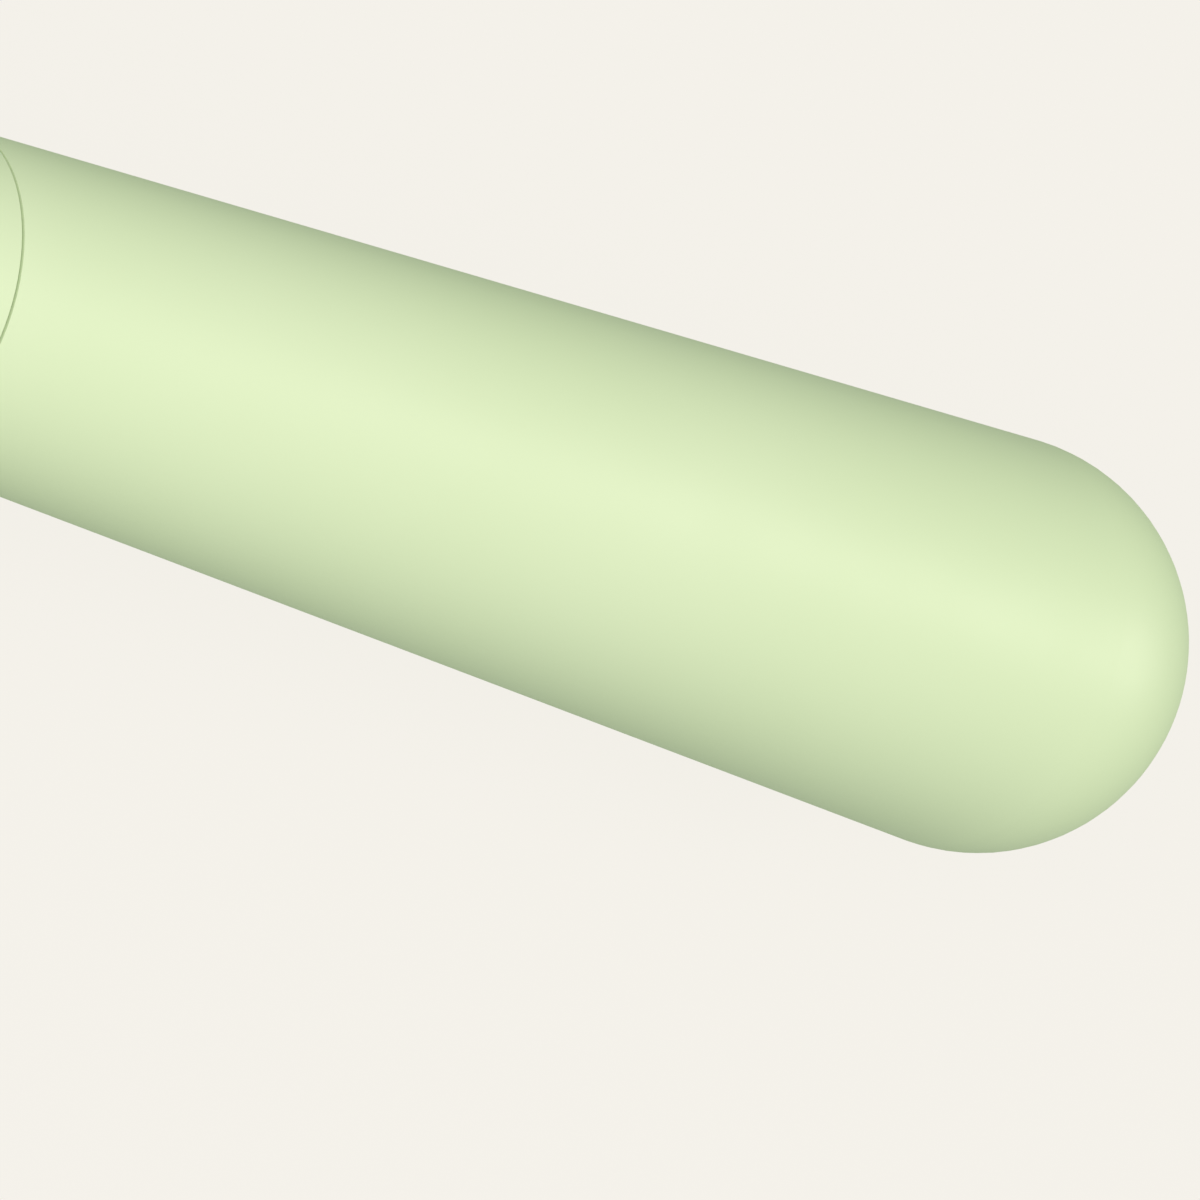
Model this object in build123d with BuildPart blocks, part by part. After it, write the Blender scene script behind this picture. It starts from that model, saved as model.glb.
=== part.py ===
"""Cordless percussive massage gun, lying on its right-hand side.

Frame, in millimetres: the origin is the mouth of the head socket, at the centre of the
barrel's front rim. -Y is the stroke direction, +X runs down the handle to its domed tip,
and +Z is up, on the gun's left-hand side.
"""
from build123d import *
from math import sqrt
import os

os.makedirs("parts", exist_ok=True)

# Barrel: a tube along Y with a hemispherical rear cap
barrel_radius = 25.0
wall = 2.2
barrel_bore = barrel_radius - wall
bezel_depth = 16.0          # the nose, a one-piece ring that a holder can grip
nose_plate = 4.0
cap_joint_y = 67.0
joint_gap = 0.15            # hairline between two visible housing pieces
joint_round = 0.3           # rounding of the rims that meet across it
overrun = 1.0               # how far a cut runs past the face that it opens
through = 12.0              # a cut this long passes right through any wall

# Handle: a slim cone along X that widens into a sphere at the tip
handle_y = 46.0
tip_radius = 21.0
seam_x = 46.0
tip_centre_x = 182.3
taper = 0.0455              # radius gained for each millimetre towards the tip
taper_normal = sqrt(1 - taper ** 2)
seam_gap = 0.3
neck_mid_x = 31.0
neck_mid_radius = 16.2
shoulder_x = 15.0
shoulder_radius = 19.4
neck_blend = 7.0            # fillet where the neck grows out of the barrel

# Slider-crank drive
stroke = 8.0
crank_radius = stroke / 2
conrod_length = 26.0
wrist_y = handle_y + crank_radius - conrod_length
plunger_radius = 8.0
plunger_length = 30.0
sliding_gap = 0.05          # radial clearance of the running fits
socket_radius = 5.05
socket_depth = 15.5
slot_half = 3.25
conrod_half = 3.0
guide_front_y = 3.0
guide_rear_y = 22.0
bushing_radius = 10.0

# Motor, an outrunner whose shaft lies along the handle's axis
motor_radius = 14.0
can_front_x = 10.0
can_rear_x = 20.8
base_x = 22.0
base_thickness = 2.0
cup_bore = 14.6
shaft_radius = 2.0
bearing_radius = 4.0
bearing_width = 3.0
pole_count = 14
tooth_count = 12

# Battery, controller and charging inlet
cell_radius = 9.2
cell_length = 65.0
cell_y = 44.0
cell_front_x = 60.5
cell_gap = 2.0
cell_rear_x = cell_front_x + cell_length + cell_gap
cells_end_x = cell_rear_x + cell_length
board_thickness = 1.2
controller_y = 54.4
controller_x = (72.0, 150.0)
controller_half_width = 8.5
charge_board_x = 194.0
usb_width = 8.94
usb_height = 3.26
usb_face_x = 202.3

# Power button in the rear cap
button_radius = 7.9
halo_inner = 8.3
halo_outer = 9.6
halo_gap = 0.1
button_travel = 0.6
switch_top_y = 74.3
button_board_y = 69.5

# Massage head
ball_radius = 22.0
ball_centre_y = -22.0
head_flange_radius = 10.0
head_gap = 0.3              # left between the flange and the plunger's face

handle_plane = Plane(origin=(0, handle_y, 0), x_dir=(1, 0, 0), z_dir=(0, 0, 1))
handle_axis = Axis((0, handle_y, 0), (1, 0, 0))


def across_barrel(y):
    """Plane across the barrel at height y along it, looking back along +Y."""
    return Plane(origin=(0, y, 0), x_dir=(1, 0, 0), z_dir=(0, 1, 0))


def across_handle(x, y=handle_y):
    """Plane across the handle at x, with its local x along Y and its normal along +X."""
    return Plane(origin=(x, y, 0), x_dir=(0, 1, 0), z_dir=(1, 0, 0))


def cone_radius(x, inset=0.0):
    """Radius of the handle's cone at x, with its wall moved inwards by inset."""
    return (tip_radius - inset - taper * (tip_centre_x - x)) / taper_normal


def ring_section(inner, outer, start, end):
    """Rectangle from inner to outer radius and from start to end along the turning axis."""
    with BuildSketch() as section:
        with Locations((-(inner + outer) / 2, (start + end) / 2)):
            Rectangle(outer - inner, end - start)
    return section.sketch


def barrel_ring(inner, outer, start, end, mode=Mode.ADD):
    """Ring about the barrel's axis, added to the part being built."""
    revolve(ring_section(inner, outer, start, end), axis=Axis.Y, mode=mode)


def handle_ring(inner, outer, start, end, centre_y=handle_y, mode=Mode.ADD):
    """Ring about an axis along X at centre_y, added to the part being built."""
    with BuildSketch(across_handle(start, centre_y)) as ring:
        Circle(outer)
        if inner > 0:
            Circle(inner, mode=Mode.SUBTRACT)
    extrude(ring.sketch, amount=end - start, mode=mode)


def neck_section(inset):
    """Half section of the neck: a hollow arc at the seam running into a flared shoulder."""
    seam_point = (seam_x, cone_radius(seam_x, inset))
    middle = (neck_mid_x, neck_mid_radius - inset)
    shoulder = (shoulder_x, shoulder_radius - inset)
    with BuildSketch() as section:
        with BuildLine():
            hollow = TangentArc(seam_point, middle, tangent=(-1, -taper))
            TangentArc(middle, shoulder, tangent=hollow % 1)
            Polyline(shoulder, (0, shoulder_radius - inset), (0, 0), (seam_x, 0), seam_point)
        make_face()
    return section.sketch


def sleeve_section(inset, start):
    """Half section of the handle: a straight cone that runs tangent into a sphere."""
    end_radius = tip_radius - inset
    start_point = (start, cone_radius(start, inset))
    tangent_point = (tip_centre_x - end_radius * taper, end_radius * taper_normal)
    tip = (tip_centre_x + end_radius, 0)
    with BuildSketch() as section:
        with BuildLine():
            Line(start_point, tangent_point)
            TangentArc(tangent_point, tip, tangent=(taper_normal, taper))
            Polyline(tip, (start, 0), start_point)
        make_face()
    return section.sketch


# --- Head housing ------------------------------------------------------------------------

# Outer form of the two head shells
with BuildPart() as head_envelope:
    barrel_ring(0, barrel_radius, bezel_depth + joint_gap, cap_joint_y - joint_gap)
    fillet(head_envelope.edges().filter_by(GeomType.CIRCLE), joint_round)
    with BuildSketch(handle_plane):
        add(neck_section(0))
    revolve(axis=handle_axis)
    crease = head_envelope.edges().filter_by(GeomType.BSPLINE)
    fillet(crease, neck_blend)

# Space inside them, open at the bezel, the rear cap and the handle
with BuildPart() as head_cavity:
    barrel_ring(0, barrel_bore, 0, cap_joint_y + overrun)
    with BuildSketch(handle_plane):
        add(neck_section(wall))
    revolve(axis=handle_axis)

# Bosses for the shell screws: two behind the barrel, one in the neck
boss_places = ((-17.0, 24.0), (-17.0, 60.0), (34.0, handle_y))
boss_radius = 2.7
screw_radius = 1.25
screw_head_radius = 2.3
screw_head_height = 1.6
screw_reach = 9.0           # depth of the screw holes beyond the parting plane
screw_hole_gap = 0.15
thread_gap = 0.05
head_hole_gap = 0.1
hex_radius = 1.1
hex_depth = 1.0
plug_bed = 3.2              # depth of a screw's head below the housing's surface
plug_lift = 0.3             # air between a screw's head and its plug
neck_boss_height = neck_mid_radius - 0.9    # the neck curves away under its boss


def shell_height(x):
    """Height of the housing's outer surface above the parting plane at a boss."""
    if x > shoulder_x:
        return neck_boss_height
    return sqrt(barrel_radius ** 2 - x ** 2)


def screw_seat(x):
    """Height of the face under a screw's head, counted from the parting plane."""
    return shell_height(x) - plug_bed - screw_head_height


def head_shell(side):
    """One half of the head housing, side = 1 for the left half (+Z) and -1 for the right."""
    with BuildPart() as shell:
        add(head_envelope.part)
        add(head_cavity.part, mode=Mode.SUBTRACT)
        for x, y in boss_places:
            with BuildSketch(Plane.XY):
                with Locations((x, y)):
                    Circle(boss_radius)
            extrude(amount=side * (shell_height(x) - wall / 2))
        add(head_envelope.part, mode=Mode.INTERSECT)
        for x, y in boss_places:
            hole_radius = screw_radius if side > 0 else screw_radius + screw_hole_gap
            depth = screw_reach if side > 0 else shell_height(x) + overrun
            with BuildSketch(Plane.XY):
                with Locations((x, y)):
                    Circle(hole_radius)
            extrude(amount=side * depth, mode=Mode.SUBTRACT)
            if side < 0:
                with BuildSketch(Plane.XY.offset(-screw_seat(x))):
                    with Locations((x, y)):
                        Circle(screw_head_radius + head_hole_gap)
                extrude(amount=-through, mode=Mode.SUBTRACT)
        kept_half = Keep.TOP if side > 0 else Keep.BOTTOM
        split(bisect_by=Plane.XY.offset(side * joint_gap / 2), keep=kept_half)
    return shell


left_head_shell = head_shell(1)
left_head_shell.part.label = "left_head_shell"
export_step(left_head_shell.part, "parts/left_head_shell.step")

right_head_shell = head_shell(-1)
right_head_shell.part.label = "right_head_shell"
export_step(right_head_shell.part, "parts/right_head_shell.step")

# Screws that draw the two shells together, put in from the right
with BuildPart() as shell_screws:
    for x, y in boss_places:
        with BuildSketch(Plane.XY.offset(-screw_seat(x))):
            with Locations((x, y)):
                Circle(screw_radius - thread_gap)
        extrude(amount=screw_seat(x) + screw_reach - overrun)
        with BuildSketch(Plane.XY.offset(-screw_seat(x))):
            with Locations((x, y)):
                Circle(screw_head_radius)
        extrude(amount=-screw_head_height)
        with BuildSketch(Plane.XY.offset(-screw_seat(x) - screw_head_height)):
            with Locations((x, y)):
                RegularPolygon(hex_radius, 6)
        extrude(amount=hex_depth, mode=Mode.SUBTRACT)
shell_screws.part.label = "shell_screws"
export_step(shell_screws.part, "parts/shell_screws.step")

# Plugs over the screws, cut to the housing's own curve
with BuildPart() as screw_plugs:
    for x, y in boss_places:
        with BuildSketch(Plane.XY.offset(-screw_seat(x) - screw_head_height - plug_lift)):
            with Locations((x, y)):
                Circle(screw_head_radius)
        extrude(amount=-through)
    add(head_envelope.part, mode=Mode.INTERSECT)
screw_plugs.part.label = "screw_plugs"
export_step(screw_plugs.part, "parts/screw_plugs.step")

# --- Rear cap and button -----------------------------------------------------------------

lip_depth = 4.0
lip_root = 3.0
lip_inner = barrel_bore - 1.4
lip_outer = barrel_bore - 0.1
vent_count = 20
vent_ring_radius = 17.6
vent_length = 5.4
vent_width = 1.5
cap_cut_y = cap_joint_y + 9     # vents and light holes open outwards from here
light_count = 4
light_ring_radius = 12.2
light_radius = 0.9
light_arc = (150, 60)        # start and extent of the lights' arc, in degrees
post_angles = (0, 90, 270)
post_ring_radius = 12.4
post_radius = 2.2
board_screw_radius = 0.9
board_screw_length = 6.0
board_screw_head_radius = 1.7
board_screw_head_height = 1.2
board_face_y = button_board_y + board_thickness


def light_places():
    """Centres of the battery level lights, on the side away from the handle."""
    return PolarLocations(light_ring_radius, light_count, start_angle=light_arc[0],
                          angular_range=light_arc[1], endpoint=True)


with BuildPart() as rear_cap:
    with Locations((0, cap_joint_y, 0)):
        Sphere(barrel_radius)
        Sphere(barrel_bore, mode=Mode.SUBTRACT)
    split(bisect_by=across_barrel(cap_joint_y), keep=Keep.TOP)
    barrel_ring(lip_inner, lip_outer, cap_joint_y - lip_depth, cap_joint_y + lip_root)
    with BuildSketch(across_barrel(board_face_y)):
        for angle in post_angles:
            with PolarLocations(post_ring_radius, 1, start_angle=angle):
                Circle(post_radius)
    extrude(until=Until.NEXT)
    with BuildSketch(across_barrel(cap_joint_y)):
        Circle(halo_outer + halo_gap)
    extrude(amount=barrel_radius + overrun, mode=Mode.SUBTRACT)
    with BuildSketch(across_barrel(cap_cut_y)):
        with PolarLocations(vent_ring_radius, vent_count):
            SlotOverall(vent_length, vent_width)
    extrude(amount=barrel_radius, mode=Mode.SUBTRACT)
    with BuildSketch(across_barrel(cap_cut_y)):
        with light_places():
            Circle(light_radius)
    extrude(amount=barrel_radius, mode=Mode.SUBTRACT)
    with BuildSketch(across_barrel(board_face_y)):
        for angle in post_angles:
            with PolarLocations(post_ring_radius, 1, start_angle=angle):
                Circle(board_screw_radius)
    extrude(amount=board_screw_length, mode=Mode.SUBTRACT)
    cap_rim = rear_cap.edges().filter_by(GeomType.CIRCLE).filter_by(
        lambda edge: abs(edge.radius - barrel_radius) < 0.01).sort_by(Axis.Y)[0]
    fillet(cap_rim, joint_round)
rear_cap.part.label = "rear_cap"
export_step(rear_cap.part, "parts/rear_cap.step")

# Clear rods that carry the level lights through the cap
rod_lift = 1.2              # air between a lamp's seat and its rod
rod_gap = 0.05
with BuildPart() as level_lights:
    with BuildSketch(across_barrel(board_face_y + rod_lift)):
        with light_places():
            Circle(light_radius - rod_gap)
    extrude(amount=barrel_radius)
    with Locations((0, cap_joint_y, 0)):
        Sphere(barrel_radius, mode=Mode.INTERSECT)
level_lights.part.label = "level_lights"
export_step(level_lights.part, "parts/level_lights.step")

# Translucent halo round the button
cap_end_y = cap_joint_y + barrel_radius
halo_start_y = cap_joint_y + 19.5
with BuildPart() as button_halo:
    barrel_ring(halo_inner, halo_outer, halo_start_y, cap_end_y)
    with Locations((0, cap_joint_y, 0)):
        Sphere(barrel_radius, mode=Mode.INTERSECT)
button_halo.part.label = "button_halo"
export_step(button_halo.part, "parts/button_halo.step")

# Button: a dished cap with a retaining flange and a stem down to the switch
flange_top_y = cap_joint_y + 19.2
button_flange = 1.2
button_flange_radius = halo_outer - 0.6
button_root = 0.5           # the cap of the button starts this far inside its flange
button_crown = 0.3          # the button stands this far above the rear cap
dish_radius = 34.6
dish_offset = 34.0          # centre of the dish, measured out from the rear cap's pole
button_stem_radius = 1.8
stem_gap = button_travel + 0.3
with BuildPart() as power_button:
    barrel_ring(0, button_radius, flange_top_y - button_root, cap_end_y)
    with Locations((0, cap_joint_y, 0)):
        Sphere(barrel_radius + button_crown, mode=Mode.INTERSECT)
    with Locations((0, cap_end_y + dish_offset, 0)):
        Sphere(dish_radius, mode=Mode.SUBTRACT)
    barrel_ring(0, button_flange_radius, flange_top_y - button_flange, flange_top_y)
    barrel_ring(0, button_stem_radius, switch_top_y + stem_gap, flange_top_y)
power_button.part.label = "power_button"
export_step(power_button.part, "parts/power_button.step")

# Button board with its screws, switch and lamps
button_board_radius = 20.5
switch_size = 6.0
switch_height = 2.4
switch_plunger_radius = 1.6
lamp_size = 1.6
lamp_height = 0.8
board_hole_gap = 0.1
board_thread_gap = 0.02
with BuildPart() as button_board:
    barrel_ring(0, button_board_radius, button_board_y, board_face_y)
    with BuildSketch(across_barrel(button_board_y)):
        for angle in post_angles:
            with PolarLocations(post_ring_radius, 1, start_angle=angle):
                Circle(board_screw_radius + board_hole_gap)
    extrude(amount=board_thickness, mode=Mode.SUBTRACT)
button_board.part.label = "button_board"
export_step(button_board.part, "parts/button_board.step")

with BuildPart() as board_screws:
    with BuildSketch(across_barrel(button_board_y)):
        for angle in post_angles:
            with PolarLocations(post_ring_radius, 1, start_angle=angle):
                Circle(board_screw_radius - board_thread_gap)
    extrude(amount=board_screw_length)
    with BuildSketch(across_barrel(button_board_y)):
        for angle in post_angles:
            with PolarLocations(post_ring_radius, 1, start_angle=angle):
                Circle(board_screw_head_radius)
    extrude(amount=-board_screw_head_height)
board_screws.part.label = "board_screws"
export_step(board_screws.part, "parts/board_screws.step")

with BuildPart() as tact_switch:
    with BuildSketch(across_barrel(board_face_y)):
        Rectangle(switch_size, switch_size)
    extrude(amount=switch_height)
    with BuildSketch(across_barrel(board_face_y)):
        Circle(switch_plunger_radius)
    extrude(amount=switch_top_y - board_face_y)
tact_switch.part.label = "tact_switch"
export_step(tact_switch.part, "parts/tact_switch.step")

with BuildPart() as level_lamps:
    with BuildSketch(across_barrel(board_face_y)):
        with light_places():
            Rectangle(lamp_size, lamp_size)
    extrude(amount=lamp_height)
level_lamps.part.label = "level_lamps"
export_step(level_lamps.part, "parts/level_lamps.step")

# --- Nose, light ring and dust seal ------------------------------------------------------

bezel_bore = 12.6
light_ring_inner = 15.5
light_ring_outer = 18.5
light_ring_depth = 1.6
light_ring_sink = 0.15      # the ring sits this far below the nose's face
light_ring_gap = 0.1
nose_round = 2.2
mouth_round = 0.8
spigot_root = 2.0
spigot_length = 3.0
with BuildPart() as front_bezel:
    barrel_ring(bezel_bore, barrel_radius, 0, nose_plate)
    barrel_ring(barrel_bore, barrel_radius, nose_plate, bezel_depth)
    barrel_ring(lip_inner, barrel_bore, bezel_depth - spigot_root, bezel_depth)
    barrel_ring(lip_inner, lip_outer, bezel_depth - spigot_root, bezel_depth + spigot_length)
    barrel_ring(light_ring_inner, light_ring_outer, 0, light_ring_depth, mode=Mode.SUBTRACT)
    rim = front_bezel.edges().filter_by(GeomType.CIRCLE).group_by(Axis.Y)[0].sort_by(SortBy.RADIUS)
    fillet(rim[-1], nose_round)
    mouth = front_bezel.edges().filter_by(GeomType.CIRCLE).group_by(Axis.Y)[0].sort_by(SortBy.RADIUS)
    fillet(mouth[0], mouth_round)
    back_rim = front_bezel.edges().filter_by(GeomType.CIRCLE).filter_by(
        lambda edge: abs(edge.radius - barrel_radius) < 0.01).sort_by(Axis.Y)[-1]
    fillet(back_rim, joint_round)
front_bezel.part.label = "front_bezel"
export_step(front_bezel.part, "parts/front_bezel.step")

with BuildPart() as light_ring:
    barrel_ring(light_ring_inner + light_ring_gap, light_ring_outer - light_ring_gap,
                light_ring_sink, light_ring_depth)
light_ring.part.label = "light_ring"
export_step(light_ring.part, "parts/light_ring.step")

seal_bore = plunger_radius + 0.25
seal_front_y = 0.8
web_front_y = 1.4
web_rear_y = 2.2
seal_rear_y = 3.0
seal_rim = 1.2
seal_bead = 0.75
with BuildPart() as dust_seal:
    barrel_ring(seal_bore, bezel_bore, web_front_y, web_rear_y)
    barrel_ring(bezel_bore - seal_rim, bezel_bore, web_front_y, seal_rear_y)
    barrel_ring(seal_bore, seal_bore + seal_bead, seal_front_y, web_rear_y)
dust_seal.part.label = "dust_seal"
export_step(dust_seal.part, "parts/dust_seal.step")

# --- Drive -------------------------------------------------------------------------------

flange_front_y = 9.5
flange_rear_y = 12.5
flange_radius = 19.4
rail_inner = cup_bore
rail_outer = 17.0
tube_wall = 2.2
rail_width = 15.0
rail_mid_x = 1.5
rail_end_y = handle_y + motor_radius
cup_wall = 1.2
cup_lap = 0.6               # the base plate reaches this far under the cup
cup_front_x = can_front_x - 3
bearing_seat_wall = 1.0
seat_front_x = can_front_x + 2
base_slot_count = 6
base_slot_ring = 10.0
base_slot_size = (5.0, 3.0)
base_slot_turn = 15
with BuildPart() as drive_frame:
    barrel_ring(bushing_radius, bushing_radius + tube_wall, guide_front_y, guide_rear_y)
    barrel_ring(bushing_radius, flange_radius, flange_front_y, flange_rear_y)
    with BuildSketch(Plane.XY.offset(rail_inner)):
        with Locations((rail_mid_x, (flange_front_y + rail_end_y) / 2)):
            Rectangle(rail_width, rail_end_y - flange_front_y)
    extrude(amount=rail_outer - rail_inner)
    mirror(about=Plane.XY)
    handle_ring(cup_bore, cup_bore + cup_wall, cup_front_x, base_x)
    handle_ring(bearing_radius, cup_bore + cup_lap, base_x, base_x + base_thickness)
    handle_ring(bearing_radius, bearing_radius + bearing_seat_wall, seat_front_x, base_x)
    with BuildSketch(across_handle(base_x)):
        with PolarLocations(base_slot_ring, base_slot_count, start_angle=base_slot_turn):
            SlotOverall(*base_slot_size)
    extrude(amount=base_thickness, mode=Mode.SUBTRACT)
drive_frame.part.label = "drive_frame"
export_step(drive_frame.part, "parts/drive_frame.step")

with BuildPart() as guide_bushing:
    barrel_ring(plunger_radius + sliding_gap, bushing_radius, guide_front_y, guide_rear_y)
guide_bushing.part.label = "guide_bushing"
export_step(guide_bushing.part, "parts/guide_bushing.step")

# Rubber rings that float the drive in the housing
isolator_gap = 0.05
isolator_inset = 0.4
with BuildPart() as front_isolator:
    barrel_ring(flange_radius + isolator_gap, lip_outer,
                flange_front_y + isolator_inset, flange_rear_y - isolator_inset)
front_isolator.part.label = "front_isolator"
export_step(front_isolator.part, "parts/front_isolator.step")

rear_isolator_wall = 0.8
rear_isolator_x = (base_x - 8, base_x - 5)
with BuildPart() as rear_isolator:
    handle_ring(cup_bore + cup_wall, cup_bore + cup_wall + rear_isolator_wall,
                rear_isolator_x[0], rear_isolator_x[1])
rear_isolator.part.label = "rear_isolator"
export_step(rear_isolator.part, "parts/rear_isolator.step")

# Motor: stator on the frame, can and magnets on the shaft
stator_front_x = 12.5
stator_rear_x = 19.5
stator_core_radius = 7.2
tooth_tip_radius = 11.4
tooth_width = 1.2
tooth_shoe = (0.9, 4.4)
tooth_sink = 0.4            # each tooth is let this far into the core
winding_overhang = 0.6
winding_ring = 8.8
winding_size = (2.7, 2.5)
winding_round = 0.5
shoe_ring = tooth_tip_radius - 0.6
bearing_press = 0.03
with BuildPart() as motor_stator:
    handle_ring(bearing_radius + bearing_seat_wall + bearing_press, stator_core_radius,
                stator_front_x, stator_rear_x)
    with BuildSketch(across_handle(stator_front_x)):
        with PolarLocations((stator_core_radius + tooth_tip_radius) / 2 - tooth_sink, tooth_count):
            Rectangle(tooth_tip_radius - stator_core_radius, tooth_width)
        with PolarLocations(shoe_ring, tooth_count):
            Rectangle(*tooth_shoe)
    extrude(amount=stator_rear_x - stator_front_x)
motor_stator.part.label = "motor_stator"
export_step(motor_stator.part, "parts/motor_stator.step")

with BuildPart() as motor_windings:
    with BuildSketch(across_handle(stator_front_x - winding_overhang)):
        with PolarLocations(winding_ring, tooth_count):
            RectangleRounded(*winding_size, winding_round)
            Rectangle(winding_size[0] + overrun, tooth_width, mode=Mode.SUBTRACT)
    extrude(amount=stator_rear_x - stator_front_x + 2 * winding_overhang)
motor_windings.part.label = "motor_windings"
export_step(motor_windings.part, "parts/motor_windings.step")

with BuildPart() as motor_bearings:
    for front_x in (seat_front_x, base_x + base_thickness - bearing_width):
        handle_ring(shaft_radius + bearing_press, bearing_radius, front_x, front_x + bearing_width)
motor_bearings.part.label = "motor_bearings"
export_step(motor_bearings.part, "parts/motor_bearings.step")

can_wall = 1.0
can_face = 1.2
can_hole_ring = 8.0
can_hole_radius = 2.2
can_hole_count = 6
with BuildPart() as motor_can:
    handle_ring(motor_radius - can_wall, motor_radius, can_front_x, can_rear_x)
    handle_ring(shaft_radius, motor_radius, can_front_x, can_front_x + can_face)
    with BuildSketch(across_handle(can_front_x)):
        with PolarLocations(can_hole_ring, can_hole_count):
            Circle(can_hole_radius)
    extrude(amount=can_face, mode=Mode.SUBTRACT)
motor_can.part.label = "motor_can"
export_step(motor_can.part, "parts/motor_can.step")

magnet_size = (1.0, 4.8)
magnet_ring = motor_radius - 1.8
magnet_overhang = 0.5
with BuildPart() as rotor_magnets:
    with BuildSketch(across_handle(stator_front_x - magnet_overhang)):
        with PolarLocations(magnet_ring, pole_count):
            Rectangle(*magnet_size)
    extrude(amount=stator_rear_x - stator_front_x + 2 * magnet_overhang)
rotor_magnets.part.label = "rotor_magnets"
export_step(rotor_magnets.part, "parts/rotor_magnets.step")

crank_front_x = 3.7
crank_rear_x = 9.2
shaft_tail = 0.6
with BuildPart() as motor_shaft:
    handle_ring(0, shaft_radius, crank_front_x, base_x + base_thickness + shaft_tail)
motor_shaft.part.label = "motor_shaft"
export_step(motor_shaft.part, "parts/motor_shaft.step")

# Crank: a hub and pin seat, balanced by a half disc on the far side
counterweight_radius = 11.0
hub_radius = 5.0
pin_boss_radius = 4.4
with BuildPart() as crank:
    with BuildSketch(across_handle(crank_front_x)):
        Circle(counterweight_radius)
        with Locations((counterweight_radius, 0)):
            Rectangle(2 * counterweight_radius, 3 * counterweight_radius, mode=Mode.SUBTRACT)
        Circle(hub_radius)
        with Locations((crank_radius, 0)):
            Circle(pin_boss_radius)
        Circle(shaft_radius, mode=Mode.SUBTRACT)
    extrude(amount=crank_rear_x - crank_front_x)
crank.part.label = "crank"
export_step(crank.part, "parts/crank.step")

# Connecting rod with its bearing and crank pin
big_end_y = wrist_y + conrod_length
big_end_bearing_radius = 6.5
crank_pin_radius = 3.0
wrist_pin_radius = 2.0
wrist_eye_radius = 4.8
big_end_radius = 8.6
rod_width = 5.6
rod_mid_y = (wrist_y + big_end_y) / 2 - 2     # nearer the wrist, whose eye is the smaller
rod_length = conrod_length - 12
rod_pocket = (9.0, 2.6)
rod_pocket_depth = 1.6
pin_gap = 0.06
big_end_bearing_half = 2.5
pin_overhang = 0.2
with BuildPart() as conrod:
    with BuildSketch(across_handle(-conrod_half, 0)):
        with Locations((wrist_y, 0)):
            Circle(wrist_eye_radius)
        with Locations((big_end_y, 0)):
            Circle(big_end_radius)
        with Locations((rod_mid_y, 0)):
            Rectangle(rod_length, rod_width)
        with Locations((wrist_y, 0)):
            Circle(wrist_pin_radius + pin_gap, mode=Mode.SUBTRACT)
        with Locations((big_end_y, 0)):
            Circle(big_end_bearing_radius, mode=Mode.SUBTRACT)
    extrude(amount=2 * conrod_half)
    with BuildSketch(across_handle(-conrod_half, 0)):
        with Locations((rod_mid_y, 0)):
            SlotOverall(*rod_pocket)
    extrude(amount=rod_pocket_depth, mode=Mode.SUBTRACT)
conrod.part.label = "conrod"
export_step(conrod.part, "parts/conrod.step")

with BuildPart() as big_end_bearing:
    handle_ring(crank_pin_radius, big_end_bearing_radius,
                -big_end_bearing_half, big_end_bearing_half, centre_y=big_end_y)
big_end_bearing.part.label = "big_end_bearing"
export_step(big_end_bearing.part, "parts/big_end_bearing.step")

with BuildPart() as crank_pin:
    handle_ring(0, crank_pin_radius, -conrod_half - pin_overhang, conrod_half + pin_overhang,
                centre_y=big_end_y)
crank_pin.part.label = "crank_pin"
export_step(crank_pin.part, "parts/crank_pin.step")

# Plunger: a socket for the head in front, a fork for the rod behind
fork_depth = 12.0
fork_mid_y = plunger_length - fork_depth / 2 + overrun / 2
plunger_chamfer = 0.4
pin_end_gap = 0.6
wrist_pin_slack = 0.01
with BuildPart() as plunger:
    barrel_ring(0, plunger_radius, 0, plunger_length)
    barrel_ring(0, socket_radius, 0, socket_depth, mode=Mode.SUBTRACT)
    with BuildSketch(Plane.XY):
        with Locations((0, fork_mid_y)):
            Rectangle(2 * slot_half, fork_depth + overrun)
    extrude(amount=plunger_radius, both=True, mode=Mode.SUBTRACT)
    handle_ring(0, wrist_pin_radius, -plunger_radius, plunger_radius, centre_y=wrist_y, mode=Mode.SUBTRACT)
    rims = plunger.edges().filter_by(GeomType.CIRCLE).group_by(Axis.Y)[0]
    chamfer(rims, plunger_chamfer)
plunger.part.label = "plunger"
export_step(plunger.part, "parts/plunger.step")

with BuildPart() as wrist_pin:
    handle_ring(0, wrist_pin_radius - wrist_pin_slack,
                pin_end_gap - plunger_radius, plunger_radius - pin_end_gap, centre_y=wrist_y)
wrist_pin.part.label = "wrist_pin"
export_step(wrist_pin.part, "parts/wrist_pin.step")

# --- Massage head ------------------------------------------------------------------------

core_length = 12.0
core_radius = 6.0
flange_thickness = 2.5
flange_front = -head_gap - flange_thickness
core_front = flange_front - core_length
stem_radius = socket_radius - sliding_gap
ring_groove = (9.0, 11.0)
groove_bottom = 4.0
core_lip = 2.0
core_lip_length = 3.0
foam_gap = 0.03
stem_chamfer = 0.8
ring_gap = 0.1
stem_end_gap = 1.0
with BuildPart() as head_core:
    barrel_ring(0, stem_radius, flange_front, socket_depth - stem_end_gap)
    barrel_ring(0, head_flange_radius, flange_front, -head_gap)
    barrel_ring(0, core_radius, core_front, flange_front)
    barrel_ring(0, core_radius + core_lip, core_front, core_front + core_lip_length)
    barrel_ring(groove_bottom, stem_radius + overrun, ring_groove[0], ring_groove[1], mode=Mode.SUBTRACT)
    nose = head_core.edges().filter_by(GeomType.CIRCLE).group_by(Axis.Y)[-1]
    chamfer(nose, stem_chamfer)
head_core.part.label = "head_core"
export_step(head_core.part, "parts/head_core.step")

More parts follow.
